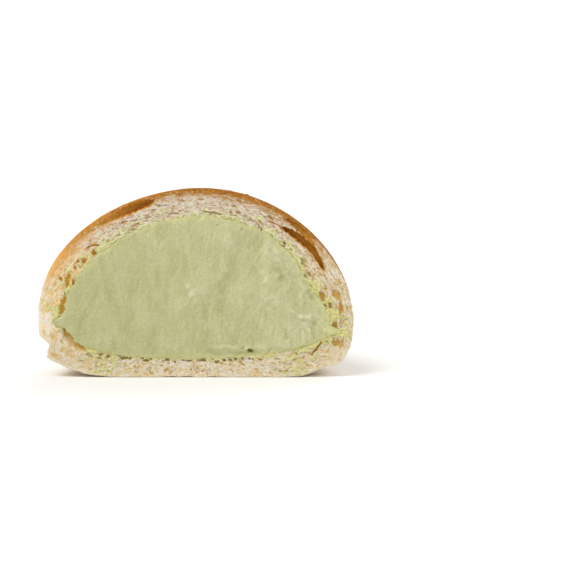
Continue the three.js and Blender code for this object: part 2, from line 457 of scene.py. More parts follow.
# The bread: skin of crust, ring of crumb on the cut, lip under the cream, and the hollow behind
crumb = {
    "ringRows": 30,
    "lip": [(0.3, 0.2), (0.6, 0.7), (0.9, 1.2), (1.2, 1.8)],   # in from the cream's edge, and back
    "hollowMiddle": (1.0, 24.0),
    "hollowBack": 36,
    "hollowSteps": 16,
    "downyEnd": (-43.0, -36.0),   # where the pits turn shallow, at the far left
    "stretchTop": 2.0,
    "stretchSide": 1.2,
    "stretchBase": 1.3,
    "lowerPores": {"count": 26, "from": -30, "to": 15, "seed": 9},
    "rimPores": {"count": 22, "from": 1.1, "to": 1.75, "seed": 4},   # levels of the cream's right side
}
tornEdge = {
    "seed": 11,
    "mean": 0.12,
    "waves": [(0.45, 0.35), (1.7, 0.35)],   # step along the edge, and height
    "above": 0.25,                          # the share of it over the browned top
    "meanRun": 6,                           # how far it runs back into the crust
    "waveRun": 0.8,
}
poreSizes = [   # how wide a cell is, its pit's share of it, the pit's depth, and the luck it needs
    {"cell": 1.3, "least": 0.2, "most": 0.5, "depth": 1.0, "luck": 0.5},
    {"cell": 0.75, "least": 0.22, "most": 0.5, "depth": 0.65, "luck": 0.4},
    {"cell": 0.45, "least": 0.25, "most": 0.5, "depth": 0.4, "luck": 0.3},
]
smallSlits = [
    {"line": [(-7.4, 46.7), (-6, 46.9), (-4.6, 46.9)], "width": 0.35, "depth": 0.7},
    {"line": [(2.6, 47.3), (5, 47.2), (7.6, 46.5)], "width": 0.35, "depth": 0.7},
    {"line": [(9.4, 46.6), (11.6, 46.2)], "width": 0.3, "depth": 0.5},
    {"line": [(14.4, 45.5), (17.8, 44.4)], "width": 0.3, "depth": 0.6},
    {"line": [(20.4, 44.8), (22.4, 44.1), (24.6, 43.1)], "width": 0.35, "depth": 0.8},
    {"line": [(-31, 36.9), (-29.2, 37.9), (-27.2, 37.8)], "width": 0.6, "depth": 0.8},
]
smallPores = [
    {"x": -34.7, "z": 27.4, "halfWidth": 0.35, "halfHeight": 1.1, "lean": 5},
    {"x": -38.3, "z": 28.2, "halfWidth": 0.5, "halfHeight": 0.5, "lean": 0},
    {"x": -34.3, "z": 31.5, "halfWidth": 0.5, "halfHeight": 0.45, "lean": 0},
    {"x": -33.3, "z": 33.4, "halfWidth": 0.4, "halfHeight": 0.4, "lean": 0},
    {"x": 39.4, "z": 23.8, "halfWidth": 0.35, "halfHeight": 1.5, "lean": -18},
    {"x": 38.2, "z": 20.6, "halfWidth": 0.5, "halfHeight": 0.9, "lean": -10},
    {"x": 36.3, "z": 20.6, "halfWidth": 0.35, "halfHeight": 0.5, "lean": 0},
]
smearSpots = [   # x, z, radius and strength of the places where the knife dragged cream over crumb
    (-37, 27.5, 3.5, 0.9), (-39.5, 19, 2.5, 0.7), (-30.5, 34, 2.8, 1.0), (-25.5, 38.5, 2.8, 1.0),
    (-20.5, 41.8, 2.6, 1.0), (-15, 44.6, 3, 0.8), (-8, 46.2, 3, 0.5), (-39.5, 14.5, 2.5, 0.4),
    (-43.2, 22, 1.5, 0.8), (-40.4, 19.5, 2, 0.6), (-36, 8, 4, 0.2), (-27, 4.5, 5, 0.9), (-14, 4.5, 6, 0.4),
    (0, 47, 6, 0.35), (11, 46.5, 4, 0.5), (18, 43.8, 2.8, 0.8), (22.5, 41.3, 2.2, 1.0), (26, 37.8, 2, 1.0),
    (28.8, 33.6, 1.8, 1.0), (31, 30, 1.8, 1.0), (34, 26.4, 2, 1.0), (36.6, 21.2, 2.5, 1.5),
    (39.6, 18.8, 2.2, 1.3), (42.2, 16.6, 1.4, 1.9), (42.5, 12.6, 1.8, 1.7), (37.8, 10.9, 1.3, 1.8),
    (33.6, 8.6, 2.6, 1.0), (28, 2.8, 5, 1.0),
]


def smoothLine(points, count=60):
    # Catmull-Rom through the points
    p = np.array([points[0], *points, points[-1]], float)
    spans = len(points) - 1
    at = np.linspace(0, spans, count)
    i = np.minimum(at.astype(int), spans - 1)
    u = (at - i)[:, None]
    a, b, c, d = p[i], p[i + 1], p[i + 2], p[i + 3]
    return 0.5 * (2 * b + (c - a) * u + (2 * a - 5 * b + 4 * c - d) * u**2 + (3 * b - a - 3 * c + d) * u**3)


def besideLine(flat, line):
    # For each point the distance to a line, and how far along it the nearest place is
    line = smoothLine(line)
    gaps = np.linalg.norm(flat[:, None, :] - line[None], axis=2)
    nearest = gaps.argmin(axis=1)
    return gaps[np.arange(len(flat)), nearest], nearest / (len(line) - 1)


def slitDepth(flat, slit):
    gap, share = besideLine(flat, slit["line"])
    jag = 0.14 * np.sin(3.7 * flat[:, 0] + 1.3) + 0.1 * np.sin(9.1 * flat[:, 0] + 5 * flat[:, 1])
    half = (0.15 + (slit["width"] - 0.15) * np.sin(np.pi * share) ** slit.get("blunt", 0.6)) / 2
    inside = half * (1 + jag) - gap
    soft = slit.get("soft", 0.15)
    deep = slit["depth"] * (1 - slit.get("shallow", 0) * smoothStep(share, 0.6, 0))
    return deep * smoothStep(inside, -soft, soft)


def poreBite(flat, pore, depth):
    lean = math.radians(pore["lean"])
    dx, dz = flat[:, 0] - pore["x"], flat[:, 1] - pore["z"]
    across = (dx * math.cos(lean) - dz * math.sin(lean)) / pore["halfWidth"]
    along = (dx * math.sin(lean) + dz * math.cos(lean)) / pore["halfHeight"]
    ragged = 0.3 * np.sin(4.3 * flat[:, 0] + 2.1 * flat[:, 1]) + 0.2 * np.sin(6.9 * flat[:, 1])
    return depth * np.sqrt(np.clip(1.25 + ragged - across**2 - along**2, 0, 1))


def biteDepth(flat):
    depth = np.zeros(len(flat))
    for slit in pockets + smallSlits:
        depth = np.maximum(depth, slitDepth(flat, slit))
    for pore in pores + smallPores:
        depth = np.maximum(depth, poreBite(flat, pore, poreDepth))
    row = crumb["lowerPores"]
    draw = np.random.default_rng(row["seed"])
    for x in np.linspace(row["from"], row["to"], row["count"]):
        size = 0.18 + 0.45 * draw.uniform() ** 1.5
        pore = {
            "x": x + draw.uniform(-1.4, 1.4),
            "z": creamSize["floor"] - 0.85 + 0.0018 * x * x + draw.uniform(-0.6, 0.3),
            "halfWidth": size * draw.uniform(1.0, 2.0),
            "halfHeight": size,
            "lean": draw.uniform(-20, 20),
        }
        depth = np.maximum(depth, poreBite(flat, pore, 0.7))
    row = crumb["rimPores"]
    draw = np.random.default_rng(row["seed"])
    for _ in range(row["count"]):
        level = draw.uniform(row["from"], row["to"])
        size = 0.15 + 0.4 * draw.uniform() ** 2
        x, z = creamPoint(0.0, level, -draw.uniform(0.1, 1.8))[[0, 2]]
        pore = {"x": x, "z": z, "halfWidth": 0.7 * size, "halfHeight": size * draw.uniform(1, 2),
                "lean": draw.uniform(-70, -10)}
        depth = np.maximum(depth, poreBite(flat, pore, 0.6))
    return depth


def ringGrain(loop):
    # Lengths along the ring in units of a pore, wound on a cylinder so that the ring has no seam
    steps = np.linalg.norm(np.roll(loop, -1, axis=0) - loop, axis=1)
    high = smoothStep(loop[:, 1], 15, 45)
    stretch = crumb["stretchSide"] + (crumb["stretchTop"] - crumb["stretchSide"]) * high
    stretch = np.where(loop[:, 1] < 8, crumb["stretchBase"], stretch)
    along = np.concatenate(([0], np.cumsum(steps / stretch)))
    radius = along[-1] / (2 * math.pi)
    return along[:-1] / radius, radius


def tornInwards(loop):
    # How far the torn edge of the cut falls back from the outline, at each point of a closed loop
    steps = np.linalg.norm(np.roll(loop, -1, axis=0) - loop, axis=1)
    place = np.concatenate(([0], np.cumsum(steps)))
    draw = np.random.default_rng(tornEdge["seed"])
    waves = 0
    for step, depth in tornEdge["waves"]:
        knots = draw.uniform(-0.5, 0.5, int(place[-1] / step))
        waves = waves + depth * np.interp(
            place[:-1], np.linspace(0, place[-1], len(knots) + 1), np.append(knots, knots[0]))
    low = smoothStep(loop[:, 1], 32, 22)
    share = (tornEdge["above"] + (1 - tornEdge["above"]) * low)[:, None]
    inward = np.array(crumb["hollowMiddle"]) - loop
    inward = inward / np.linalg.norm(inward, axis=1)[:, None] * share
    waves = np.maximum(waves, -tornEdge["mean"])
    return inward * tornEdge["mean"], inward * waves[:, None]


def makeBread():
    rows, turns = crustSize["rows"], crustSize["turns"]
    levels = evenLevels(crustPoint, -1, 2, rows)
    patch = Patchwork()
    skin = crustPoint(np.linspace(0, 1, turns + 1)[None, :], levels[:, None])
    skin[:, [0, -1], 1] = 0
    outer = cutOutline(crustPoint, -1, 2, 2 * rows, True)
    half = turns // 2
    for torn, run in zip(tornInwards(outer), (tornEdge["meanRun"], tornEdge["waveRun"])):
        near = bell(skin[:, :, 1] / run)[:, :, None]
        skin[:, :half, [0, 2]] += near[:, :half] * torn[: 2 * rows + 1 : 2][:, None]
        leftSide = np.concatenate([torn[:1], torn[: 2 * rows - 1 : -2]])
        skin[:, half:, [0, 2]] += near[:, half:] * leftSide[:, None]
    outer = outer + sum(tornInwards(outer))
    bottom, top = patch.add(skin[0, 0]), patch.add(skin[-1, 0])
    grid = np.array([patch.add(row) for row in skin[1:-1]])
    for low, high in zip(grid[:-1], grid[1:]):
        patch.faces += list(zip(low[:-1], low[1:], high[1:], high[:-1]))
    patch.faces += [(bottom[0], b, a) for a, b in zip(grid[0][:-1], grid[0][1:])]
    patch.faces += [(top[0], a, b) for a, b in zip(grid[-1][:-1], grid[-1][1:])]
    skinCount = patch.count

    inner = cutOutline(creamPoint, 0, 2, 2 * rows, False)
    turnAngle, grainRadius = ringGrain((outer + inner) / 2)
    facts = []   # for each loop of the cut: its points, how far from the crust, and how far to the cream
    last = np.concatenate([bottom, grid[:, 0], top, grid[::-1, -1]])
    for step in range(1, crumb["ringRows"] + 1):
        flat = outer + (inner - outer) * step / crumb["ringRows"]
        ring = patch.add(inPlace(flat, 0))
        patch.join(last, ring)
        last = ring
        fromCrust = np.linalg.norm(flat - outer, axis=1)
        facts.append((flat, fromCrust, np.linalg.norm(inner - flat, axis=1)))
    for inset, depth in crumb["lip"]:
        flat = cutOutline(lambda t, level: creamPoint(t, level, inset), 0, 2, 2 * rows, False)
        ring = patch.add(inPlace(flat, depth))
        patch.join(last, ring)
        last = ring
        facts.append((flat, np.linalg.norm(flat - outer, axis=1), np.full(len(flat), -inset)))
    cutCount = patch.count
    middle = np.array(crumb["hollowMiddle"])
    for loop in bowlLoops(flat, middle, depth, crumb["hollowBack"], crumb["hollowSteps"]):
        ring = patch.add(loop)
        patch.join(last, ring)
        last = ring
    patch.join(last, patch.add((middle[0], crumb["hollowBack"], middle[1])))

    mesh = patch.mesh("bread_half")
    flats = np.concatenate([fact[0] for fact in facts])
    fromCrust = np.concatenate([fact[1] for fact in facts])
    toCream = np.concatenate([fact[2] for fact in facts])
    angle = np.tile(turnAngle, len(facts))

    def onCut(values, elsewhere=0.0):
        whole = np.full(patch.count, elsewhere, float)
        whole[skinCount:cutCount] = values
        return whole

    grain = np.zeros((patch.count, 3))
    grain[skinCount:cutCount] = np.stack(
        [np.cos(angle) * grainRadius, np.sin(angle) * grainRadius, fromCrust], axis=1)
    smear = sum(strength * bell(np.hypot(flats[:, 0] - x, flats[:, 1] - z) / radius)
                for x, z, radius, strength in smearSpots)
    turnGrid = np.broadcast_to(np.linspace(0, 1, turns + 1), skin.shape[:2])
    fold = np.zeros(patch.count)
    # Only the creases round the back get painted colour, shade in the fold and a highlight on the lip below
    # it: the first two, at the ends of the cut, stay pale
    fold[2:skinCount] = creaseDepth(turnGrid, skin[:, :, 2], creases[2:])[1:-1].ravel()
    setValues(mesh, "fold", fold)
    setValues(mesh, "grain", grain)
    setValues(mesh, "cut", onCut(1))
    setValues(mesh, "fromCrust", onCut(fromCrust))
    setValues(mesh, "toCream", onCut(toCream, farOff))
    setValues(mesh, "bite", onCut(biteDepth(flats) * (toCream > -0.25)))
    setValues(mesh, "smearHere", onCut(smear))
    return addPiece("bread_half", mesh)


# The crumb's own directions: along the ring of bread and across it, a little swirled
def swirledGrain(tree, grain):
    swirl = addNode(tree, "ShaderNodeTexNoise", {"Vector": grain, "Scale": 0.7, "Detail": 2.0})
    swirl = vectorCalc(tree, "SUBTRACT", swirl.outputs["Color"], (0.5, 0.5, 0.5))
    return vectorCalc(tree, "ADD", grain, scaled(tree, swirl, 0.9))


# Round pits in some of the cells of the crumb, from large ones to small ones
def crumbPores(tree, grain, size):
    flatter = vectorCalc(tree, "MULTIPLY", grain, (1.0, 1.0, 1.3))
    pits = None
    for pore in poreSizes:
        cell = cells(tree, flatter, calc(tree, "DIVIDE", 1 / pore["cell"], size))
        luck = parts(tree, cell.outputs["Color"])[0]
        chosen = calc(tree, "GREATER_THAN", luck, pore["luck"])
        radius = times(tree, remap(tree, luck, pore["luck"], 1.0, pore["least"], pore["most"]), chosen)
        radius = calc(tree, "MAXIMUM", radius, 0.001)
        near = calc(tree, "POWER", calc(tree, "DIVIDE", cell.outputs["Distance"], radius), 2.0)
        pit = calc(tree, "SQRT", calc(tree, "MAXIMUM", calc(tree, "SUBTRACT", 1.0, near), 0.0))
        pit = times(tree, pit, pore["depth"])
        pits = pit if pits is None else calc(tree, "MAXIMUM", pits, pit)
    return pits


# Where cream lies on the crumb: a web over the walls of the pores, thickest beside the filling
def smearMask(tree, grain, smearHere, toCream, bite):
    patchy = noise(tree, grain, 0.45, 3.0, 0.55)
    lace = calc(tree, "MULTIPLY_ADD", noise(tree, grain, 1.0, 3.0, 0.6), 1.2, -0.6)
    wall = cells(tree, grain, 0.85, "DISTANCE_TO_EDGE").outputs["Distance"]
    web = remap(tree, wall, 0.04, 0.4, 0.35, -0.3)
    wanted = times(tree, smearHere, calc(tree, "MULTIPLY_ADD", patchy, 2.4, -0.9))
    uneven = remap(tree, noise(tree, grain, 0.3, 2.0), 0.35, 0.65, 0.4, 1.5)
    reach = times(tree, uneven, calc(tree, "MULTIPLY_ADD", smearHere, 0.7, 0.7))
    beside = remap(tree, calc(tree, "DIVIDE", toCream, reach), -0.1, 2.2, 1.05, 0.0)
    level = calc(tree, "ADD", calc(tree, "ADD", wanted, beside), calc(tree, "ADD", lace, web))
    return times(tree, remap(tree, level, 0.46, 0.6), remap(tree, bite, 0.1, 0.5, 1.0, 0.0))


# Thin cracks that run round the pale side of the crust, as lines of equal level in a flat noise
def crackMask(tree, place):
    height = parts(tree, place)[2]
    level = noise(tree, vectorCalc(tree, "MULTIPLY", place, (0.02, 0.02, 0.13)), 1.0, 3.0, 0.42)
    crack = remap(tree, calc(tree, "ABSOLUTE", calc(tree, "SUBTRACT", level, 0.5)), 0.001, 0.0065, 1.0, 0.0)
    there = remap(tree, noise(tree, place, 0.05, 1.0), 0.42, 0.5)
    side = times(tree, remap(tree, height, 2.5, 4.5), remap(tree, height, 17.0, 23.0, 1.0, 0.0))
    return times(tree, crack, there, side)


# Digs the pores of the crumb, fills some with smeared cream, and wrinkles the crust
def crumbTree(values):
    tree, given = startTree("crumbAndCrust", values)
    cut = stored(tree, "cut")
    bite = stored(tree, "bite")
    toCream = stored(tree, "toCream")
    place = placeOfPoints(tree)
    x, z = parts(tree, place)[::2]
    grain = swirledGrain(tree, vectorCalc(tree, "ADD", stored(tree, "grain", "FLOAT_VECTOR"), given["Seed"]))
    smeared = smearMask(tree, grain, stored(tree, "smearHere"), toCream, bite)

    # The pits and torn fibres of bare crumb, shallower where cream is smeared on it
    bare = times(tree, remap(tree, stored(tree, "fromCrust"), 0.3, 1.8), cut,
                 remap(tree, smeared, 0.0, 1.0, 1.0, 0.5), remap(tree, toCream, -0.5, 0.3))
    pitted = times(tree, bare, remap(tree, x, *crumb["downyEnd"], 0.35, 1.0))
    pits = times(tree, crumbPores(tree, grain, given["Pore Size"]), pitted)
    fibre = calc(tree, "SUBTRACT", noise(tree, grain, 1.6, 3.0, 0.6), 0.35)
    torn = calc(tree, "SUBTRACT", noise(tree, grain, 0.35, 2.0), 0.35)
    rough = calc(tree, "ADD", times(tree, fibre, given["Fibre Depth"]), times(tree, torn, 0.3))
    rough = calc(tree, "MAXIMUM", times(tree, rough, bare), 0.0)
    depth = calc(tree, "MULTIPLY_ADD", pits, given["Pore Depth"], rough)
    depth = calc(tree, "ADD", depth, bite)
    raised = times(tree, smeared, bare, given["Smear Height"], remap(tree, toCream, 0.2, 1.0))
    depth = calc(tree, "SUBTRACT", depth, raised)
    back = joined(tree, y=times(tree, depth, mm))

    # The crust: faint wrinkles along its normal, and thin cracks that run round its pale side
    wrinkle = noise(tree, vectorCalc(tree, "MULTIPLY", place, (1.0, 1.0, 1.6)), 0.35, 4.0, 0.55)
    wrinkle = times(tree, calc(tree, "SUBTRACT", wrinkle, 0.75), given["Wrinkle Depth"],
                    remap(tree, z, 0.2, 3.0))
    crack = times(tree, crackMask(tree, place), given["Crack Depth"])
    inward = times(tree, calc(tree, "SUBTRACT", wrinkle, crack), calc(tree, "SUBTRACT", 1.0, cut), mm)
    skin = scaled(tree, addNode(tree, "GeometryNodeInputNormal").outputs[0], inward)

    body = moved(tree, given["Geometry"], vectorCalc(tree, "ADD", back, skin))
    finishTree(tree, body, given["Crust"], calc(tree, "GREATER_THAN", cut, 0.2), given["Crumb"])
    return tree


# The cream: a face that stands a little proud of the cut, its rim over the crumb, and a hidden back
cream = {
    "rimPoints": 800,
    "faceRows": 110,
    "halvings": (34, 74, 97),   # rows of the face from which half of the points are left
    "middle": (1.0, 24.0),
    "proud": 0.06,
    "edgeHeight": 0.25,
    "edgeRun": 0.8,
    "bulge": 0.2,
    "under": [(0.4, 0.6), (1.0, 1.4), (1.7, 2.3)],   # in from the rim, and back
    "back": 34,
    "backSteps": 14,
}
creamRidges = [   # lines along which the knife pushed the cream up or down, with their width and height
    {"line": [(26, 19.4), (29.2, 17.9), (31, 17.5), (33.4, 18.1)], "width": 1.1, "height": 0.55},
    {"line": [(29.2, 31), (29.9, 27), (30.3, 23), (29.9, 19)], "width": 1, "height": 0.45},
    {"line": [(26.2, 30), (26.6, 27), (26.4, 24.6)], "width": 0.9, "height": 0.35},
    {"line": [(33, 20), (34.8, 16.4), (36.4, 13.9), (40, 12.9)], "width": 1.1, "height": 0.5},
    {"line": [(36.4, 19), (37, 16.2), (37.8, 14.2)], "width": 1.6, "height": -0.4},
    {"line": [(30.2, 16.2), (32.2, 14.4), (32.8, 12.6), (32, 10.4)], "width": 1.1, "height": 0.45},
    {"line": [(18.4, 38), (19.6, 31), (20.4, 25), (20.4, 18)], "width": 3.6, "height": 0.4},
    {"line": [(22.6, 33), (24, 29), (24, 24.4)], "width": 2, "height": -0.5},
    {"line": [(21.4, 20), (21.9, 15.4), (21.2, 11.4)], "width": 1.4, "height": 0.3},
    {"line": [(25.2, 14.6), (25.6, 11.6), (25, 9.6)], "width": 1.2, "height": -0.3},
    {"line": [(9, 30), (8.2, 26.4), (8.8, 23)], "width": 2.4, "height": -0.35},
    {"line": [(-2, 31), (-1.2, 24), (-0.6, 17)], "width": 2.6, "height": 0.3},
    {"line": [(2.2, 24), (2.6, 19.6), (2.2, 15.6)], "width": 1.8, "height": -0.3},
    {"line": [(-10.6, 24.4), (-9.8, 21), (-9.4, 17)], "width": 2.2, "height": 0.22},
    {"line": [(2.4, 9.2), (9, 8.6), (16, 8.4), (22, 8.9)], "width": 0.9, "height": 0.4},
    {"line": [(2, 7.2), (10, 6.9), (18, 7.2), (26, 8.3)], "width": 0.9, "height": -0.4},
    {"line": [(-6, 44.6), (-3, 44), (0, 44.6)], "width": 1.4, "height": 0.3},
    {"line": [(10, 43), (13, 41.4), (15.4, 38.6)], "width": 1.3, "height": 0.3},
    {"line": [(22.5, 37.6), (23, 34.6), (24.6, 31.8)], "width": 1.2, "height": 0.35},
    {"line": [(28, 32.4), (31, 27), (32.8, 23.2), (34.2, 20.4)], "width": 1.3, "height": -0.5},
    {"line": [(-12, 43.4), (-18, 40.6), (-23, 37)], "width": 2, "height": -0.3},
]
creamHoles = [   # x, z, half width and depth of the air holes that the knife opened
    (15.4, 7.8, 0.75, 1.4), (13.3, 8.4, 0.4, 0.5), (13.2, 42.5, 0.3, 0.5), (18.0, 37.4, 0.22, 0.4),
    (31.2, 21.2, 0.25, 0.4), (27.6, 34.4, 0.45, 0.6), (3.4, 7.9, 0.3, 0.35), (6.2, 43.6, 0.3, 0.35),
]


def makeCream():
    patch = Patchwork()
    half = cream["rimPoints"] // 2
    edge = cutOutline(creamPoint, 0, 2, half, False)
    middle = np.array(cream["middle"])
    facts = []   # for each loop: how far in from the rim, and whether it lies on the face

    def faceLoop(share):
        flat = middle + (edge - middle) * share
        gap = np.linalg.norm(flat - edge, axis=1)
        out = cream["edgeHeight"] * (1 - np.exp(-gap / cream["edgeRun"]))
        out = out + cream["bulge"] * (1 - share**2) + cream["proud"]
        return flat, -out, gap

    ring = None
    step = 1
    for row in range(cream["faceRows"]):
        flat, depth, gap = faceLoop(1 - row / cream["faceRows"])
        if row in cream["halvings"]:
            step *= 2
        flat, depth, gap = flat[::step], depth[::step], gap[::step]
        nextRing = patch.add(np.stack([flat[:, 0], depth, flat[:, 1]], axis=1))
        facts.append((gap, np.ones(len(gap))))
        if ring is None:
            rim = nextRing
        else:
            patch.join(ring, nextRing)
        ring = nextRing
    peak = -cream["edgeHeight"] - cream["bulge"] - cream["proud"]
    patch.join(ring, patch.add((middle[0], peak, middle[1])))
    facts.append((np.array([farOff]), np.ones(1)))
    last = rim
    for inset, depth in cream["under"]:
        flat = cutOutline(lambda t, level: creamPoint(t, level, inset), 0, 2, half, False)
        nextRing = patch.add(inPlace(flat, depth))
        facts.append((np.full(len(flat), inset), np.zeros(len(flat))))
        patch.join(nextRing, last)
        last = nextRing
    for loop in bowlLoops(flat, middle, depth, cream["back"], cream["backSteps"]):
        nextRing = patch.add(loop)
        facts.append((np.full(len(nextRing), farOff), np.zeros(len(nextRing))))
        patch.join(nextRing, last)
        last = nextRing
    patch.join(patch.add((middle[0], cream["back"], middle[1])), last)
    facts.append((np.array([farOff]), np.zeros(1)))

    mesh = patch.mesh("green_tea_cream_filling")
    onFace = np.concatenate([fact[1] for fact in facts])
    flats = np.concatenate(patch.points)[:, [0, 2]]
    pushed = np.zeros(len(flats))
    x, z = flats[:, 0], flats[:, 1]
    wander = np.stack([np.sin(0.8 * z + 0.3 * x) + 0.5 * np.sin(1.9 * z - 0.6 * x),
                       np.sin(0.9 * x + 0.3 * z) + 0.5 * np.sin(2.1 * x + 0.5 * z)], axis=1)
    broken = 0.8 + 0.3 * np.sin(0.9 * z + 1.3 * x) + 0.2 * np.sin(2.1 * z - 1.6 * x)
    for ridge in creamRidges:
        gap, share = besideLine(flats + 0.3 * wander, ridge["line"])
        pushed += ridge["height"] * broken * bell(1.7 * gap / ridge["width"]) * np.sin(np.pi * share)
    setValues(mesh, "fromRim", np.concatenate([fact[0] for fact in facts]))
    setValues(mesh, "face", onFace)
    setValues(mesh, "pushed", pushed * onFace)
    return addPiece("green_tea_cream_filling", mesh)


# Uneven relief from a stretched noise, as high above its middle as it is deep below
def ripples(tree, vector, stretch, height, *roughness):
    wave = noise(tree, vectorCalc(tree, "MULTIPLY", vector, stretch), 1.0, *roughness)
    return times(tree, calc(tree, "SUBTRACT", wave, 0.5), height)


def creamTree(values):
    tree, given = startTree("creamFace", values)
    face = stored(tree, "face")
    fromRim = stored(tree, "fromRim")
    place = placeOfPoints(tree)
    x, z = parts(tree, place)[::2]
    flat = joined(tree, x, given["Seed"], z)

    # Drags of the knife that lean a little and fade in and out, soft lumps, and ridges that it pushed up
    leaning = joined(tree, calc(tree, "MULTIPLY_ADD", z, -0.16, x), given["Seed"], z)
    drag = ripples(tree, leaning, (0.24, 1.0, 0.06), given["Drag Depth"], 4.0, 0.56, 0.7)
    there = remap(tree, noise(tree, flat, 0.07, 2.0), 0.4, 0.62, 0.25, 1.2)
    drag = times(tree, drag, times(tree, there, remap(tree, x, -30.0, 24.0, 0.6, 1.2)))
    lump = ripples(tree, flat, (0.15, 1.0, 0.07), given["Lump Depth"], 3.0, 0.5, 0.8)
    crinkle = ripples(tree, leaning, (0.6, 1.0, 0.27), given["Crinkle Depth"], 3.0, 0.55, 1.6)
    crinkle = times(tree, crinkle, remap(tree, x, -34.0, 26.0, 0.35, 1.0))
    pushed = times(tree, stored(tree, "pushed"), given["Ridge Height"])
    out = calc(tree, "ADD", calc(tree, "ADD", drag, lump), calc(tree, "ADD", pushed, crinkle))
    out = calc(tree, "MINIMUM", out, 0.7)
    out = times(tree, out, times(tree, face, remap(tree, fromRim, 0.0, 1.4, 0.2, 1.0)))
    hollow = None
    for across, up, half, depth in creamHoles:
        gap = distance(tree, vectorCalc(tree, "MULTIPLY", flat, (1, 0, 1.5)), (across, 0, up * 1.5))
        hole = remap(tree, gap, half * 0.35, half * 1.25, depth, 0.0)
        hollow = hole if hollow is None else calc(tree, "MAXIMUM", hollow, hole)
    hollow = times(tree, hollow, face)
    out = calc(tree, "SUBTRACT", out, hollow)

    # The rim runs out over the pores of the crumb in lobes, and seldom in
    nearRim = remap(tree, fromRim, 0.0, 2.8, 1.0, 0.0)
    lobes = calc(tree, "MULTIPLY_ADD", noise(tree, flat, 0.36, 3.0, 0.6), 3.4, -1.45)
    fringe = calc(tree, "MULTIPLY_ADD", noise(tree, flat, 1.6, 3.0, 0.6), 2.2, -1.0)
    lobes = calc(tree, "MULTIPLY_ADD", fringe, remap(tree, fromRim, 0.0, 1.1, 1.0, 0.0), lobes)
    lobes = calc(tree, "MAXIMUM", lobes, -0.15)
    outward = vectorCalc(tree, "SUBTRACT", place, (cream["middle"][0], 0.0, cream["middle"][1]))
    outward = vectorCalc(tree, "NORMALIZE", vectorCalc(tree, "MULTIPLY", outward, (1.0, 0.0, 1.0)))
    run = times(tree, lobes, times(tree, nearRim, given["Rim Run"], mm))
    push = joined(tree, y=times(tree, out, -mm))

    body = store(tree, given["Geometry"], "hollow", hollow)
    body = store(tree, body, "relief", out)
    body = moved(tree, body, vectorCalc(tree, "ADD", push, scaled(tree, outward, run)))
    finishTree(tree, body, given["Cream"])
    return tree


# Materials: colours are written as they are seen, and lie where the photographed bun has them
def startMaterial(name):
    material = bpy.data.materials.new(name)
    material.use_nodes = True
    tree = material.node_tree
    where = scaled(tree, addNode(tree, "ShaderNodeTexCoord").outputs["Object"], 1 / mm)
    return material, tree, where


def setShader(tree, settings, colour, normal=None):
    sockets = tree.nodes["Principled BSDF"].inputs
    for name, value in settings.items():
        sockets[name].default_value = value
    feed(tree, sockets["Base Color"], colour)
    if normal is not None:
        feed(tree, sockets["Normal"], normal)


def readValue(tree, name, output="Fac"):
    return addNode(tree, "ShaderNodeAttribute", attribute_name=name).outputs[output]


def ramp(tree, value, stops):
    node = addNode(tree, "ShaderNodeValToRGB", {"Fac": value})
    ends = node.color_ramp.elements
    while len(ends) < len(stops):
        ends.new(0.5)
    for end, (place, code) in zip(ends, stops):
        end.position = place
    for end, (place, code) in zip(ends, stops):
        end.color = tint(code)
    return node.outputs["Color"]


# Soft blotches and fine specks, shared by the crust, the crumb and the cream
def mottleGroup():
    group = bpy.data.node_groups.new("mottle", "ShaderNodeTree")
    for label, kind in (("Vector", "NodeSocketVector"), ("Size", "NodeSocketFloat")):
        group.interface.new_socket(label, in_out="INPUT", socket_type=kind)
    for label in ("Blotch", "Speck"):
        group.interface.new_socket(label, in_out="OUTPUT", socket_type="NodeSocketFloat")
    given = group.nodes.new("NodeGroupInput").outputs
    scale = calc(group, "DIVIDE", 1.0, given["Size"])
    out = group.nodes.new("NodeGroupOutput")
    feed(group, out.inputs["Blotch"], noise(group, given["Vector"], scale, 4.0, 0.55, 0.3))
    feed(group, out.inputs["Speck"], noise(group, given["Vector"], times(group, scale, 6.0), 3.0, 0.6))
    return group


def mottled(tree, vector, size):
    node = addNode(tree, "ShaderNodeGroup", node_tree=mottle)
    feed(tree, node.inputs["Vector"], vector)
    node.inputs["Size"].default_value = size
    return node.outputs["Blotch"], node.outputs["Speck"]


def bumped(tree, height, distance, strength=1.0):
    return addNode(tree, "ShaderNodeBump", {
        "Height": height, "Distance": distance * mm, "Strength": strength}).outputs["Normal"]


crustLook = {
    "byHeight": (   # share of the height, and colour
        (0.0, "cfae7c"), (0.07, "dcc49a"), (0.18, "e0ceab"), (0.36, "dfbf8c"), (0.5, "d9ac6b"),
        (0.66, "c89343"), (0.82, "ab7426"), (0.96, "8c5a18")),
    # swelling is a painted highlight on the lip below a crease; crease is a painted shade in its fold, also
    # used for the thin cracks
    "speck": "9c6a35", "swelling": "efe3ca", "crease": "b5853f",
    # The two left edge colours are painted light: a golden glow as if lit through the thin crust
    "paintedGlowLeftEdge": "f5bb54", "paintedGlowLeftEdgeTop": "d08c2c", "rightEdge": "98621a", "lowEdge": "f6eee0",
    "darkFleck": "7d480d", "paleFleck": "e6c394",
    "shader": {
        "Roughness": 0.55,
        "Specular IOR Level": 0.1,
        "Subsurface Weight": 0.1,
        "Subsurface Radius": (1.0, 0.6, 0.3),
        "Subsurface Scale": 0.8 * mm,
    },
}


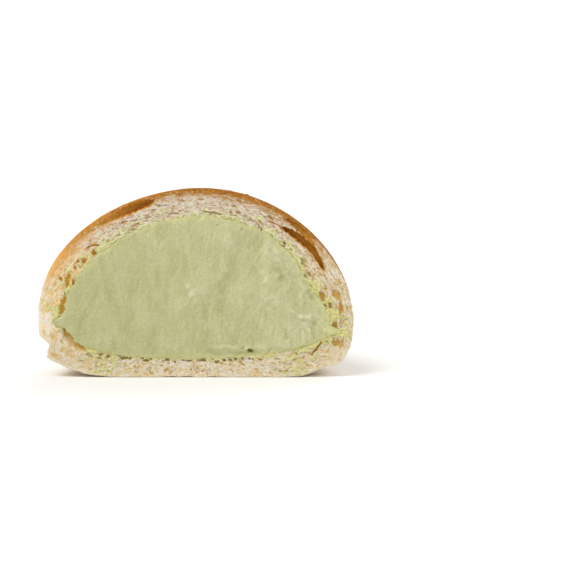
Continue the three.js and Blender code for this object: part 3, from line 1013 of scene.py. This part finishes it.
def crustMaterial(look):
    material, tree, where = startMaterial("baked_crust")
    blotch, speck = mottled(tree, where, 6.0)
    x, y, z = parts(tree, where)
    wander = calc(tree, "MULTIPLY_ADD", blotch, 18.0, -9.0)
    high = calc(tree, "DIVIDE", calc(tree, "ADD", z, wander), crustSize["height"])
    fold = readValue(tree, "fold")
    # Painted shade darkens the creases and the same brown marks the thin cracks; a painted highlight
    # lightens the swelling lip below each crease
    creased = remap(tree, fold, 0.85, 1.15, 0.0, 0.6)
    opened = calc(tree, "MAXIMUM", creased, times(tree, crackMask(tree, where), 0.75))
    colour = layered(tree, ramp(tree, high, look["byHeight"]),
                     (remap(tree, speck, 0.55, 0.8, 0.0, 0.3), look["speck"]),
                     (remap(tree, fold, -0.45, -0.1, 0.6, 0.0), look["swelling"]),
                     (opened, look["crease"]))

    # Close behind the cut the skin has the colours of the crust's edge, pale low down, with flecks; at the
    # left they are painted light, a golden glow as of light passing through the thin edge
    chance = parts(tree, cells(tree, where, 2.2).outputs["Color"])[0]
    golden = blend(tree, remap(tree, z, 38.0, 47.0), look["paintedGlowLeftEdge"], look["paintedGlowLeftEdgeTop"])
    edge = blend(tree, remap(tree, x, -30.0, 4.0), golden, look["rightEdge"])
    paleTo = remap(tree, x, -10.0, 10.0, 22.0, 17.0)
    brownFrom = remap(tree, x, -10.0, 10.0, 38.0, 28.0)
    edge = blend(tree, remap(tree, z, paleTo, brownFrom), look["lowEdge"], edge)
    dark = times(tree, remap(tree, chance, 0.4, 0.0, 0.0, 0.8), remap(tree, z, 30.0, 44.0, 0.3, 1.0))
    edge = layered(tree, edge, (dark, look["darkFleck"]),
                   (remap(tree, chance, 0.65, 1.0, 0.0, 0.6), look["paleFleck"]))
    colour = blend(tree, remap(tree, y, cutPlane, cutPlane + 2.6, 0.9, 0.0), colour, edge)
    setShader(tree, look["shader"], colour, bumped(tree, speck, 0.2, 0.5))
    return material


blisterLook = {
    "byHeight": ((0.4, "e3c391"), (0.65, "d2a05e"), (0.98, "a6733c")),
    "blotch": "e2bd8c",
    "shader": {"Roughness": 0.5},
}


def blisterMaterial(look):
    material, tree, where = startMaterial("crust_blister")
    blotch, speck = mottled(tree, where, 3.0)
    high = calc(tree, "DIVIDE", parts(tree, where)[2], crustSize["height"])
    colour = ramp(tree, high, look["byHeight"])
    colour = blend(tree, remap(tree, blotch, 0.4, 0.6, 0.0, 0.4), colour, look["blotch"])
    setShader(tree, look["shader"], colour, bumped(tree, speck, 0.1, 0.3))
    return material


crumbLook = {
    # The left colours of the glow, strands and pits are painted light: warmer, as if lit from behind through
    # the thin bread
    "glow": "c0954f", "paintedBacklitGlow": "dfa850", "glowUpper": "b48740", "glowLower": "d7b35c",
    "strand": "dcd5bb", "paintedBacklitStrand": "ead7ac", "strandUpper": "dfd6c7", "strandLower": "e2ddcd",
    "fibre": "e9e1d2", "string": "b8904e", "paleGrain": "e8e2d9", "burntGrain": "a87a3c",
    "pit": "c99b46", "paintedBacklitPit": "d9ad5c", "pitUpper": "aa7b33", "pitByCream": "bd983e",
    "soft": "cda250", "softHigh": "f3c56e", "softRight": "cfa962", "down": "e0d5ba", "downHigh": "f0e9db",
    "hole": "dbae4c", "holeRight": "d3ae5a", "holeUpper": "d99c3a", "holeNarrow": "a5924c",
    "holeShade": "a08a3c", "holeTop": "c96a1e", "holeDeep": "ce9436",
    # orange and the left and low shell colours are painted light: a glow as if lit from behind through the
    # thin bread at the left
    "paintedBacklitOrange": "eeae4e", "tan": "b58030", "shell": "bd7a22", "shellFleck": "6f3f0a",
    "paintedBacklitShell": "dc9734", "paintedBacklitShellFleck": "a3641a", "paintedBacklitShellLow": "f6bc5c", "shellGrain": "e2bd82",
    "smear": "dcd995", "smearUpper": "dfdbb0", "smearThread": "b3a85c", "smearGrain": "e9e6bd",
    "shader": {
        "Roughness": 0.7,
        "Specular IOR Level": 0.2,
        "Subsurface Weight": 0.2,
        "Subsurface Radius": (1.0, 0.7, 0.4),
        "Subsurface Scale": 1.0 * mm,
    },
}


def crumbMaterial(look, seed, poreSize):
    material, tree, where = startMaterial("bread_crumb")
    x, z = parts(tree, where)[::2]
    grain = vectorCalc(tree, "ADD", readValue(tree, "grain", "Vector"), (seed,) * 3)
    grain = swirledGrain(tree, grain)
    fromCrust = readValue(tree, "fromCrust")
    toCream = readValue(tree, "toCream")
    bite = readValue(tree, "bite")
    smeared = smearMask(tree, grain, readValue(tree, "smearHere"), toCream, bite)
    blotch, speck = mottled(tree, grain, 2.2)
    upper = remap(tree, z, 30.0, 44.0)
    lower = remap(tree, z, 5.0, 11.0, 1.0, 0.0)
    left = remap(tree, x, -34.0, -18.0, 1.0, 0.0)

    # Small grains in the crumb, some white and some dark
    salt = cells(tree, vectorCalc(tree, "MULTIPLY", grain, (0.8, 0.8, 1.2)), 2.1)
    chance = parts(tree, salt.outputs["Color"])[0]
    kernel = remap(tree, salt.outputs["Distance"], 0.2, 0.6, 1.0, 0.0)
    white = times(tree, kernel, remap(tree, chance, 0.55, 0.85))
    dark = times(tree, kernel, remap(tree, chance, 0.28, 0.1))
    burnt = times(tree, dark, remap(tree, left, 0.0, 1.0, 0.5, 0.2))

    # Pale strands over a warm glow, each by where it lies on the cut; at the left the glow, strands and pits
    # are painted light, warmer as if lit from behind through the thin bread
    dusky = times(tree, upper, remap(tree, left, 0.0, 1.0, 1.0, 0.4))
    glow = layered(tree, look["glow"], (left, look["paintedBacklitGlow"]), (dusky, look["glowUpper"]),
                   (lower, look["glowLower"]))
    strand = layered(tree, look["strand"], (left, look["paintedBacklitStrand"]), (upper, look["strandUpper"]),
                     (lower, look["strandLower"]))
    threads = noise(tree, vectorCalc(tree, "MULTIPLY", grain, (1.0, 1.0, 1.3)), 2.2, 5.0, 0.72)
    threaded = remap(tree, threads, 0.38, 0.56)
    fibres = noise(tree, vectorCalc(tree, "MULTIPLY", grain, (0.5, 0.5, 2.6)), 1.0, 3.0, 0.6)
    stringy = calc(tree, "MULTIPLY_ADD", lower, -0.6, remap(tree, x, 8.0, 24.0, 0.15, 0.6))
    stringy = times(tree, remap(tree, fibres, 0.46, 0.37), stringy)
    pitColour = layered(tree, look["pit"], (left, look["paintedBacklitPit"]), (upper, look["pitUpper"]),
                        (remap(tree, toCream, 3.0, 1.0), look["pitByCream"]))
    pit = times(tree, crumbPores(tree, grain, poreSize), remap(tree, x, *crumb["downyEnd"], 0.4, 1.0))
    colour = layered(tree, glow,
                     (threaded, strand),
                     (remap(tree, blotch, 0.47, 0.62, 0.0, 0.5), strand),
                     (remap(tree, blotch, 0.46, 0.34, 0.0, 0.45), glow),
                     (remap(tree, fibres, 0.5, 0.62, 0.0, 0.55), look["fibre"]),
                     (stringy, look["string"]),
                     (remap(tree, pit, 0.0, 0.8, 0.0, 0.8), pitColour),
                     (times(tree, white, 0.5), look["paleGrain"]),
                     (burnt, look["burntGrain"]))

    # Pale fluffy crumb at both ends of the base
    filmTo = remap(tree, z, 4.0, 20.0, -38.0, -43.0)
    filmEnd = remap(tree, z, 4.0, 20.0, -27.0, -37.0)
    film = times(tree, remap(tree, x, filmTo, filmEnd, 1.0, 0.0), remap(tree, z, 20.0, 32.0, 1.0, 0.0))
    lobe = times(tree, remap(tree, z, 7.0, 11.0, 1.0, 0.0), remap(tree, x, 34.0, 39.0))
    film = times(tree, calc(tree, "MAXIMUM", film, lobe), remap(tree, blotch, 0.35, 0.6, 1.0, 0.4))
    fluff = remap(tree, noise(tree, grain, 0.5, 5.0, 0.68), 0.4, 0.58)
    fluff = calc(tree, "MAXIMUM", fluff, remap(tree, fromCrust, 1.8, 0.6))
    soft = layered(tree, look["soft"], (remap(tree, z, 10.0, 16.0), look["softHigh"]),
                   (remap(tree, x, -10.0, 10.0), look["softRight"]))
    downy = blend(tree, remap(tree, z, 8.0, 16.0), look["down"], look["downHigh"])
    colour = blend(tree, film, colour, blend(tree, fluff, soft, downy))

    # Opened pores: golden, olive where they are small and beside the cream, brown where they are deep
    narrow = times(tree, remap(tree, x, 8.0, 10.0), remap(tree, z, 27.0, 29.0))
    narrow = calc(tree, "MAXIMUM", narrow, remap(tree, z, 44.0, 45.0))
    narrow = calc(tree, "MAXIMUM", narrow, remap(tree, z, 6.2, 7.4, 1.0, 0.0))
    narrow = times(tree, narrow, remap(tree, toCream, 1.6, 2.2, 1.0, 0.0))
    shade = times(tree, remap(tree, x, -28.0, -31.0), remap(tree, z, 16.0, 14.0),
                  remap(tree, toCream, 0.2, 1.2, 0.85, 0.0))
    hole = layered(tree, look["hole"],
                   (remap(tree, x, -10.0, 30.0), look["holeRight"]),
                   (remap(tree, z, 34.0, 38.0), look["holeUpper"]),
                   (narrow, look["holeNarrow"]),
                   (shade, look["holeShade"]))

    # The curved pocket at the lower left fades into the crumb on its outer side
    faded = times(tree, remap(tree, x, -22.0, -27.0), remap(tree, z, 17.0, 15.0),
                  remap(tree, toCream, 0.6, 2.2, 0.0, 0.7))
    shown = times(tree, calc(tree, "MULTIPLY_ADD", faded, -1.0, 1.0), remap(tree, bite, 0.0, 0.8))
    rusty = times(tree, remap(tree, x, -25.0, -15.0), remap(tree, z, 44.0, 46.0))
    colour = layered(tree, colour,
                     (shown, hole),
                     (times(tree, rusty, remap(tree, bite, 0.4, 1.5)), look["holeTop"]),
                     (remap(tree, bite, 1.4, 2.6), look["holeDeep"]))

    # Brown at the crust: a thin line over the top, and a wide painted orange glow at the upper left, as if
    # light came through the bread; there the crust line is painted lighter too
    ragged = calc(tree, "ADD", calc(tree, "MULTIPLY_ADD", blotch, 1.6, -0.8),
                  calc(tree, "MULTIPLY_ADD", chance, 0.5, -0.25))
    rim = calc(tree, "ADD", fromCrust, ragged)
    backlitSide = remap(tree, x, -26.0, -2.0, 1.0, 0.0)
    paintedBacklitOrange = times(tree, backlitSide, remap(tree, z, 22.0, 36.0), remap(tree, rim, 0.4, 4.2, 0.9, 0.0),
                   remap(tree, white, 0.0, 0.8, 1.0, 0.3))
    tan = times(tree, upper, remap(tree, rim, 0.6, 4.0, 0.9, 0.0), remap(tree, white, 0.0, 0.8, 1.0, 0.4))
    width = calc(tree, "MULTIPLY_ADD", remap(tree, z, 26.0, 50.0), 0.95, 0.25)
    start = calc(tree, "MULTIPLY_ADD", backlitSide, 4.0, 21.0)
    brown = times(tree, remap(tree, calc(tree, "DIVIDE", rim, width), 0.4, 1.5, 1.0, 0.0),
                  remap(tree, z, start, calc(tree, "ADD", start, 12.0)))
    flecked = calc(tree, "ADD", remap(tree, speck, 0.4, 0.6, 0.0, 0.6), times(tree, dark, 0.5))
    shell = layered(tree, blend(tree, flecked, look["shell"], look["shellFleck"]),
                    (backlitSide, blend(tree, flecked, look["paintedBacklitShell"], look["paintedBacklitShellFleck"])),
                    (times(tree, backlitSide, remap(tree, z, 30.0, 44.0, 1.0, 0.0)), look["paintedBacklitShellLow"]),
                    (times(tree, white, 0.35), look["shellGrain"]))
    colour = layered(tree, colour, (paintedBacklitOrange, look["paintedBacklitOrange"]), (tan, look["tan"]), (brown, shell))

    # Cream that the knife smeared over the crumb
    creamy = blend(tree, upper, look["smear"], look["smearUpper"])
    creamy = blend(tree, threaded, look["smearThread"], creamy)
    creamy = blend(tree, times(tree, white, 0.4), creamy, look["smearGrain"])
    colour = blend(tree, times(tree, smeared, 0.94), colour, creamy)
    setShader(tree, look["shader"], colour, bumped(tree, threads, 0.25, 0.6))
    return material


creamLook = {
    # The cream is painted lighter towards the right, from left to right: painted light
    "left": "bebd8a", "right": "c9c799", "blotch": "b2b17c", "paintedDipShade": "a8a870", "ridge": "dedcbb",
    # dip and ridge are painted shade in the dips of the relief and a painted highlight on its ridges
    "fine": "a9a872", "paleGrain": "d3d2a6", "darkGrain": "a9a770", "leaf": "6f7338",
    "rim": "cdca88", "finger": "d3d084", "hole": "a8a652",
    # hole is painted shade in the holes that the knife opened
    "shader": {
        "Roughness": 0.5,
        "Subsurface Weight": 0.2,
        "Subsurface Radius": (1.0, 0.9, 0.5),
        "Subsurface Scale": 0.8 * mm,
    },
}


def creamMaterial(look):
    material, tree, where = startMaterial("green_tea_cream")
    x, z = parts(tree, where)[::2]
    blotch = mottled(tree, vectorCalc(tree, "MULTIPLY", where, (1.0, 1.0, 0.6)), 4.5)[0]
    fine = noise(tree, where, 2.2, 3.0, 0.7)
    relief = readValue(tree, "relief")
    grit = cells(tree, vectorCalc(tree, "MULTIPLY", where, (1.0, 0.3, 1.0)), 2.9)
    chance = parts(tree, grit.outputs["Color"])[0]
    leaf = times(tree, calc(tree, "GREATER_THAN", chance, 0.988),
                 remap(tree, grit.outputs["Distance"], 0.3, 0.5, 0.6, 0.0))

    # The rim is yellower, least at the left, and so is the thin finger at the right
    granular = calc(tree, "MULTIPLY_ADD", fine, 2.4, -1.2)
    rim = remap(tree, calc(tree, "ADD", readValue(tree, "fromRim"), granular), 0.0, 1.3, 0.6, 0.0)
    rim = times(tree, rim, remap(tree, x, -37.0, -20.0, 0.3, 1.0))
    finger = times(tree, remap(tree, x, 33.5, 39.5), remap(tree, z, 9.0, 12.0),
                   remap(tree, fine, 0.35, 0.6, 0.8, 0.25))
    colour = layered(tree, look["left"],
                     # painted light: lighter towards the right
                     (remap(tree, x, -38.0, 38.0), look["right"]),
                     (remap(tree, blotch, 0.4, 0.62, 0.55, 0.0), look["blotch"]),
                     # painted shade in the dips and painted highlight on the ridges of the relief
                     (remap(tree, relief, -0.3, -0.02, 0.5, 0.0), look["paintedDipShade"]),
                     (remap(tree, relief, 0.05, 0.75, 0.0, 0.75), look["ridge"]),
                     (remap(tree, fine, 0.35, 0.65, 0.0, 0.22), look["fine"]),
                     (remap(tree, chance, 0.6, 1.0, 0.0, 0.3), look["paleGrain"]),
                     (remap(tree, chance, 0.4, 0.0, 0.0, 0.3), look["darkGrain"]),
                     (leaf, look["leaf"]),
                     (rim, look["rim"]),
                     (finger, look["finger"]),
                     # painted shade in the knife-opened holes
                     (remap(tree, readValue(tree, "hollow"), 0.05, 0.5, 0.0, 0.8), look["hole"]))
    setShader(tree, look["shader"], colour, bumped(tree, fine, 0.18, 0.6))
    return material


breadWishes = {
    "Seed": 3.7,
    "Pore Size": 1.0,
    "Pore Depth": 0.4,
    "Fibre Depth": 0.25,
    "Smear Height": 0.5,   # halved where the smear covers the crumb in full
    "Wrinkle Depth": 0.14,
    "Crack Depth": 0.4,
}
mottle = mottleGroup()
breadWishes["Crust"] = crustMaterial(crustLook)
breadWishes["Crumb"] = crumbMaterial(crumbLook, breadWishes["Seed"], breadWishes["Pore Size"])
bread = makeBread()
applyTree(bread, crumbTree(breadWishes), breadWishes)
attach(bread, "root")
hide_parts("bread")
print("bun: bread made", len(bread.data.polygons))


# Pale blisters of the crust, strewn over its upper part on points of the skin
def blisterTree(values):
    tree, given = startTree("crustBlisters", values)
    place = placeOfPoints(tree)
    onCrust = calc(tree, "LESS_THAN", stored(tree, "cut"), 0.01)
    patchy = remap(tree, noise(tree, place, 0.06, 1.0), 0.42, 0.6, 0.15, 1.0)
    high = remap(tree, parts(tree, place)[2], 23.0, 30.0)
    strewn = addNode(tree, "GeometryNodeDistributePointsOnFaces", {
        "Mesh": given["Geometry"], "Seed": given["Seed"],
        "Density": times(tree, onCrust, patchy, high, given["Per Square Metre"])})
    dome = addNode(tree, "GeometryNodeMeshIcoSphere", {"Radius": mm, "Subdivisions": 3}).outputs[0]
    dome = addNode(tree, "GeometryNodeSetShadeSmooth", {"Geometry": dome}).outputs[0]
    draw = addNode(tree, "FunctionNodeRandomValue", {2: 0.0, 3: 1.0, "Seed": given["Seed"]}).outputs[1]
    size = calc(tree, "MULTIPLY_ADD", calc(tree, "POWER", draw, 3.0), 0.55, 0.2)
    size = times(tree, size, given["Blister Size"])
    domes = addNode(tree, "GeometryNodeInstanceOnPoints", {
        "Points": strewn.outputs["Points"], "Instance": dome, "Rotation": strewn.outputs["Rotation"],
        "Scale": joined(tree, size, size, times(tree, size, 0.33))}).outputs[0]
    finishTree(tree, domes, given["Blister"])
    return tree


blisterWishes = {
    "Seed": 5,
    "Per Square Metre": 26000.0,
    "Blister Size": 1.0,
    "Blister": blisterMaterial(blisterLook),
}
blisters = addPiece("crust_blisters", bread.data.copy())
applyTree(blisters, blisterTree(blisterWishes), blisterWishes)
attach(blisters, "root")
print("bun: blisters made", len(blisters.data.polygons))

filling = makeCream()
fillingWishes = {
    "Seed": 2.3,
    "Drag Depth": 1.2,
    "Lump Depth": 1.6,
    "Ridge Height": 1.4,
    "Crinkle Depth": 0.65,
    "Rim Run": 1.0,
    "Cream": creamMaterial(creamLook),
}
applyTree(filling, creamTree(fillingWishes), fillingWishes)
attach(filling, "root")
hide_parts("green_tea_cream")
print("bun: cream made", len(filling.data.polygons))


# Where it stands: a pale floor that fades into a white surround
stand = {
    "radius": 1.6,
    "sides": 64,
    "colour": "fbfbfa",
    "blotchStrength": 0.985,
    "shader": {"Roughness": 0.9, "Specular IOR Level": 0.2},
}


def floorMaterial(look):
    material, tree, where = startMaterial("pale_floor")
    blotch = mottled(tree, where, 60.0)[0]
    darker = tint(look["colour"], look["blotchStrength"])
    setShader(tree, look["shader"], blend(tree, blotch, look["colour"], darker))
    return material


floorRim = [(stand["radius"] * math.cos(a), stand["radius"] * math.sin(a), 0)
            for a in np.linspace(0, 2 * math.pi, stand["sides"] + 1)[:-1]]
floorMesh = bpy.data.meshes.new("floor")
floorMesh.from_pydata(floorRim, [], [tuple(range(stand["sides"]))])
floorMesh.materials.append(floorMaterial(stand))
floor = addPiece("floor", floorMesh)

lights = {
    "surround": 0.5,
    "lamps": [
        {"name": "high_window", "kind": "SUN", "at": (-0.55, -0.5, 1.0), "angle": 40, "power": 1.75},
        {"name": "back_window", "kind": "SUN", "at": (0.5, 0.8, 0.8), "angle": 60, "power": 1.0},
        {"name": "side_window", "kind": "AREA", "at": (0.6, -0.35, 0.5), "size": 0.4, "power": 0.8},
    ],
}
world = bpy.data.worlds.new("white_room")
bpy.context.scene.world = world
world.use_nodes = True
air = world.node_tree
back = air.nodes["Background"]
seen = addNode(air, "ShaderNodeLightPath").outputs["Is Camera Ray"]
feed(air, back.inputs["Strength"], remap(air, seen, 0.0, 1.0, lights["surround"], 1.0))
back.inputs["Color"].default_value = (1, 1, 1, 1)


def aimAt(thing, target):
    way = mathutils.Vector(target) - thing.location
    thing.rotation_euler = way.to_track_quat("-Z", "Y").to_euler()


for lamp in lights["lamps"]:
    data = bpy.data.lights.new(lamp["name"], lamp["kind"])
    data.energy = lamp["power"]
    if lamp["kind"] == "AREA":
        data.shape = "SQUARE"
        data.size = lamp["size"]
    else:
        data.angle = math.radians(lamp["angle"])
    thing = addPiece(lamp["name"], data)
    thing.location = lamp["at"]
    aimAt(thing, (0, cutPlane * mm, 0.02))

shot = {"target": (24.95, 0, 27.0), "away": 500, "rise": 6.5, "lens": 111.8}
eye = bpy.data.cameras.new("camera")
eye.lens = shot["lens"]
eye.sensor_width = 36
eye.clip_start = 0.01
camera = addPiece("camera", eye)
aim = np.array(shot["target"]) + (0, cutPlane, 0)
rise = math.radians(shot["rise"])
camera.location = (aim + shot["away"] * np.array([0, -math.cos(rise), math.sin(rise)])) * mm
aimAt(camera, tuple(aim * mm))
bpy.context.scene.camera = camera
bpy.context.scene.view_settings.view_transform = "Standard"
